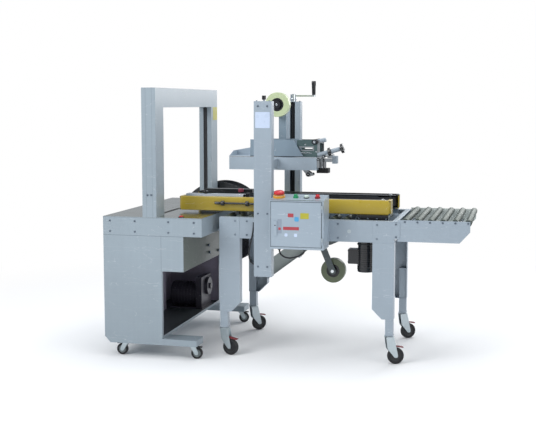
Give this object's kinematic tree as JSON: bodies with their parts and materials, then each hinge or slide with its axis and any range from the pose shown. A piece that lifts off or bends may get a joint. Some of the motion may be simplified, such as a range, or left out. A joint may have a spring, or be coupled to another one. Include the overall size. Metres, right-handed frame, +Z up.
{
  "type": "carton sealing and strapping line",
  "caption": "Wheeled carton sealing line: roller infeed, side belts, top and bottom tape heads on a crank lift, then an arch strapping machine with a strap reel.",
  "frame": {"origin": "bottom centre of the whole machine, on the floor", "axes": "+X towards the infeed table, +Y away from the operator, +Z up"},
  "size_m": [1.9889, 1.3494, 1.5385],
  "materials": {
    "body_paint": "satin grey-blue paint",
    "frame_paint": "satin grey-blue paint",
    "head_paint": "satin grey-blue paint",
    "box_paint": "satin grey paint",
    "track_black": "matt black",
    "mechanism_metal": "cast and machined",
    "reel_plastic": "black with pale coil",
    "zinc_steel": "zinc plated",
    "roller_zinc": "satin zinc",
    "grip_black": "matt black",
    "head_steel": "satin paint and plated steel",
    "dark_steel": "dark grey paint",
    "tape_film": "glossy tape roll",
    "drive_metal": "plated and black painted steel",
    "guard_yellow": "satin yellow paint",
    "belt_black": "ribbed rubber",
    "tyre_black": "black tread, grey hub",
    "cable_black": "matt sheath",
    "button_red": "glossy red",
    "button_green": "glossy green"
  },
  "bodies": {
    "machine": {"strapper_rails": "body_paint", "strapper_cabinet": "body_paint", "strapper_table": "body_paint", "strapper_arch": "body_paint", "strap_track": "track_black", "strapping_unit": "mechanism_metal", "reel_stand": "zinc_steel", "side_frames": "frame_paint", "legs": "frame_paint", "bed_rollers": "roller_zinc", "infeed_table": "frame_paint", "columns": "frame_paint", "bottom_tape_head": "dark_steel", "control_box": "box_paint", "control_cable": "cable_black", "fasteners": "zinc_steel"},
    "reel": {"strap_reel": "reel_plastic"},
    "start_button": {"strapper_button": "button_red"},
    "top_head": {"head_carriage": "frame_paint", "head_beam": "head_paint", "top_tape_head": "head_steel"},
    "top_tape": {"top_tape_roll": "tape_film"},
    "press_arm": {"press_arm": "zinc_steel"},
    "crank": {"lift_crank": "zinc_steel"},
    "grip": {"crank_grip": "grip_black"},
    "near_side_drive": {"near_drive": "drive_metal", "near_guard": "guard_yellow", "near_belt": "belt_black"},
    "far_side_drive": {"far_drive": "drive_metal", "far_guard": "guard_yellow", "far_belt": "belt_black"},
    "near_belt_pulley": {"near_pulley": "zinc_steel"},
    "far_belt_pulley": {"far_pulley": "zinc_steel"},
    "bottom_tape": {"bottom_tape_roll": "tape_film"},
    "box_door": {"control_door": "box_paint"},
    "stop_button": {"estop_button": "button_red"},
    "run_button": {"green_button": "button_green"},
    "halt_button": {"red_button": "button_red"},
    "infeed_roller_1": {"infeed_roller_1": "roller_zinc"},
    "infeed_roller_2": {"infeed_roller_2": "roller_zinc"},
    "infeed_roller_3": {"infeed_roller_3": "roller_zinc"},
    "infeed_roller_4": {"infeed_roller_4": "roller_zinc"},
    "infeed_roller_5": {"infeed_roller_5": "roller_zinc"},
    "infeed_roller_6": {"infeed_roller_6": "roller_zinc"},
    "sealer_fork_1": {"sealer_fork_1": "zinc_steel"},
    "sealer_wheel_1": {"sealer_wheel_1": "tyre_black"},
    "sealer_fork_2": {"sealer_fork_2": "zinc_steel"},
    "sealer_wheel_2": {"sealer_wheel_2": "tyre_black"},
    "sealer_fork_3": {"sealer_fork_3": "zinc_steel"},
    "sealer_wheel_3": {"sealer_wheel_3": "tyre_black"},
    "sealer_fork_4": {"sealer_fork_4": "zinc_steel"},
    "sealer_wheel_4": {"sealer_wheel_4": "tyre_black"},
    "strapper_fork_1": {"strapper_fork_1": "zinc_steel"},
    "strapper_wheel_1": {"strapper_wheel_1": "tyre_black"},
    "strapper_fork_2": {"strapper_fork_2": "zinc_steel"},
    "strapper_wheel_2": {"strapper_wheel_2": "tyre_black"},
    "strapper_fork_3": {"strapper_fork_3": "zinc_steel"},
    "strapper_wheel_3": {"strapper_wheel_3": "tyre_black"},
    "strapper_fork_4": {"strapper_fork_4": "zinc_steel"},
    "strapper_wheel_4": {"strapper_wheel_4": "tyre_black"}
  },
  "joints": [
    {"name": "reel_spin", "type": "hinge", "parent": "machine", "child": "reel", "pos_m": [-0.6785, 0.57625, 0.62], "axis": [0, 1, 0], "continuous": true},
    {"name": "start_button_press", "type": "slide", "parent": "machine", "child": "start_button", "axis": [0, 0, -1], "range_m": [0, 0.002], "stiffness_N_per_m": 400},
    {"name": "head_lift", "type": "slide", "parent": "machine", "child": "top_head", "axis": [0, 0, 1], "range_m": [-0.085, 0.3]},
    {"name": "crank_turn", "type": "hinge", "parent": "machine", "child": "crank", "pos_m": [-0.1175, 0.20925, 1.416], "axis": [0, 0, 1], "range_deg": [-1600, 5500]},
    {"name": "grip_spin", "type": "hinge", "parent": "crank", "child": "grip", "pos_m": [0.0085, 0.20925, 1.496], "axis": [0, 0, 1], "continuous": true},
    {"name": "top_tape_spin", "type": "hinge", "parent": "top_head", "child": "top_tape", "pos_m": [-0.1265, -0.15275, 1.397], "axis": [0, 1, 0], "continuous": true},
    {"name": "press_arm_swing", "type": "hinge", "parent": "top_head", "child": "press_arm", "pos_m": [0.0055, -0.15275, 1.062], "axis": [0, -1, 0], "range_deg": [0, 20], "stiffness_Nm_per_rad": 8, "springref_deg": -8.59},
    {"name": "near_drive_slide", "type": "slide", "parent": "machine", "child": "near_side_drive", "axis": [0, 1, 0], "range_m": [-0.04, 0.055]},
    {"name": "far_drive_slide", "type": "slide", "parent": "machine", "child": "far_side_drive", "axis": [0, 1, 0], "range_m": [-0.056, 0.041]},
    {"name": "near_pulley_spin", "type": "hinge", "parent": "near_side_drive", "child": "near_belt_pulley", "pos_m": [0.5055, -0.31475, 0.84], "axis": [0, 0, 1], "continuous": true},
    {"name": "far_pulley_spin", "type": "hinge", "parent": "far_side_drive", "child": "far_belt_pulley", "pos_m": [0.5055, 0.00925, 0.84], "axis": [0, 0, 1], "continuous": true},
    {"name": "bottom_tape_spin", "type": "hinge", "parent": "machine", "child": "bottom_tape", "pos_m": [0.2045, -0.15275, 0.45], "axis": [0, 1, 0], "continuous": true},
    {"name": "box_door_swing", "type": "hinge", "parent": "machine", "child": "box_door", "pos_m": [0.2305, -0.64475, 0.766], "axis": [0, 0, 1], "range_deg": [0, 110]},
    {"name": "stop_button_press", "type": "slide", "parent": "machine", "child": "stop_button", "axis": [0, 0.1392, -0.9903], "range_m": [0, 0.004], "stiffness_N_per_m": 900},
    {"name": "run_button_press", "type": "slide", "parent": "machine", "child": "run_button", "axis": [0, 0.1392, -0.9903], "range_m": [0, 0.003], "stiffness_N_per_m": 400},
    {"name": "halt_button_press", "type": "slide", "parent": "machine", "child": "halt_button", "axis": [0, 0.1392, -0.9903], "range_m": [0, 0.003], "stiffness_N_per_m": 400},
    {"name": "infeed_roller_1_spin", "type": "hinge", "parent": "machine", "child": "infeed_roller_1", "pos_m": [0.6465, -0.15275, 0.779], "axis": [0, 1, 0], "continuous": true},
    {"name": "infeed_roller_2_spin", "type": "hinge", "parent": "machine", "child": "infeed_roller_2", "pos_m": [0.7125, -0.15275, 0.779], "axis": [0, 1, 0], "continuous": true},
    {"name": "infeed_roller_3_spin", "type": "hinge", "parent": "machine", "child": "infeed_roller_3", "pos_m": [0.7785, -0.15275, 0.779], "axis": [0, 1, 0], "continuous": true},
    {"name": "infeed_roller_4_spin", "type": "hinge", "parent": "machine", "child": "infeed_roller_4", "pos_m": [0.8445, -0.15275, 0.779], "axis": [0, 1, 0], "continuous": true},
    {"name": "infeed_roller_5_spin", "type": "hinge", "parent": "machine", "child": "infeed_roller_5", "pos_m": [0.9105, -0.15275, 0.779], "axis": [0, 1, 0], "continuous": true},
    {"name": "infeed_roller_6_spin", "type": "hinge", "parent": "machine", "child": "infeed_roller_6", "pos_m": [0.9765, -0.15275, 0.779], "axis": [0, 1, 0], "continuous": true},
    {"name": "sealer_swivel_1", "type": "hinge", "parent": "machine", "child": "sealer_fork_1", "pos_m": [-0.356, -0.46725, 0.1], "axis": [0, 0, 1], "continuous": true},
    {"name": "sealer_wheel_spin_1", "type": "hinge", "parent": "sealer_fork_1", "child": "sealer_wheel_1", "pos_m": [-0.32079, -0.47474, 0.045], "axis": [0.2079, 0.9781, 0], "continuous": true},
    {"name": "sealer_swivel_2", "type": "hinge", "parent": "machine", "child": "sealer_fork_2", "pos_m": [0.569, -0.46725, 0.1], "axis": [0, 0, 1], "continuous": true},
    {"name": "sealer_wheel_spin_2", "type": "hinge", "parent": "sealer_fork_2", "child": "sealer_wheel_2", "pos_m": [0.60189, -0.45261, 0.045], "axis": [-0.4067, 0.9135, 0], "continuous": true},
    {"name": "sealer_swivel_3", "type": "hinge", "parent": "machine", "child": "sealer_fork_3", "pos_m": [-0.356, 0.16175, 0.1], "axis": [0, 0, 1], "continuous": true},
    {"name": "sealer_wheel_spin_3", "type": "hinge", "parent": "sealer_fork_3", "child": "sealer_wheel_3", "pos_m": [-0.32842, 0.18489, 0.045], "axis": [-0.6428, 0.766, 0], "continuous": true},
    {"name": "sealer_swivel_4", "type": "hinge", "parent": "machine", "child": "sealer_fork_4", "pos_m": [0.569, 0.16175, 0.1], "axis": [0, 0, 1], "continuous": true},
    {"name": "sealer_wheel_spin_4", "type": "hinge", "parent": "sealer_fork_4", "child": "sealer_wheel_4", "pos_m": [0.59953, 0.18083, 0.045], "axis": [-0.5299, 0.848, 0], "continuous": true},
    {"name": "strapper_swivel_1", "type": "hinge", "parent": "machine", "child": "strapper_fork_1", "pos_m": [-0.8915, -0.61275, 0.074], "axis": [0, 0, 1], "continuous": true},
    {"name": "strapper_wheel_spin_1", "type": "hinge", "parent": "strapper_fork_1", "child": "strapper_wheel_1", "pos_m": [-0.9135, -0.61275, 0.032], "axis": [0, -1, 0], "continuous": true},
    {"name": "strapper_swivel_2", "type": "hinge", "parent": "machine", "child": "strapper_fork_2", "pos_m": [-0.4975, -0.61275, 0.074], "axis": [0, 0, 1], "continuous": true},
    {"name": "strapper_wheel_spin_2", "type": "hinge", "parent": "strapper_fork_2", "child": "strapper_wheel_2", "pos_m": [-0.47571, -0.60969, 0.032], "axis": [-0.1392, 0.9903, 0], "continuous": true},
    {"name": "strapper_swivel_3", "type": "hinge", "parent": "machine", "child": "strapper_fork_3", "pos_m": [-0.8915, 0.36525, 0.074], "axis": [0, 0, 1], "continuous": true},
    {"name": "strapper_wheel_spin_3", "type": "hinge", "parent": "strapper_fork_3", "child": "strapper_wheel_3", "pos_m": [-0.91055, 0.37625, 0.032], "axis": [-0.5, -0.866, 0], "continuous": true},
    {"name": "strapper_swivel_4", "type": "hinge", "parent": "machine", "child": "strapper_fork_4", "pos_m": [-0.4975, 0.36525, 0.074], "axis": [0, 0, 1], "continuous": true},
    {"name": "strapper_wheel_spin_4", "type": "hinge", "parent": "strapper_fork_4", "child": "strapper_wheel_4", "pos_m": [-0.47683, 0.37277, 0.032], "axis": [-0.342, 0.9397, 0], "continuous": true}
  ],
  "couplings": [
    {"joint": "crank_turn", "follows": "head_lift", "rad_per_m": 314.16},
    {"joint": "far_drive_slide", "follows": "near_drive_slide", "ratio": -1}
  ]
}
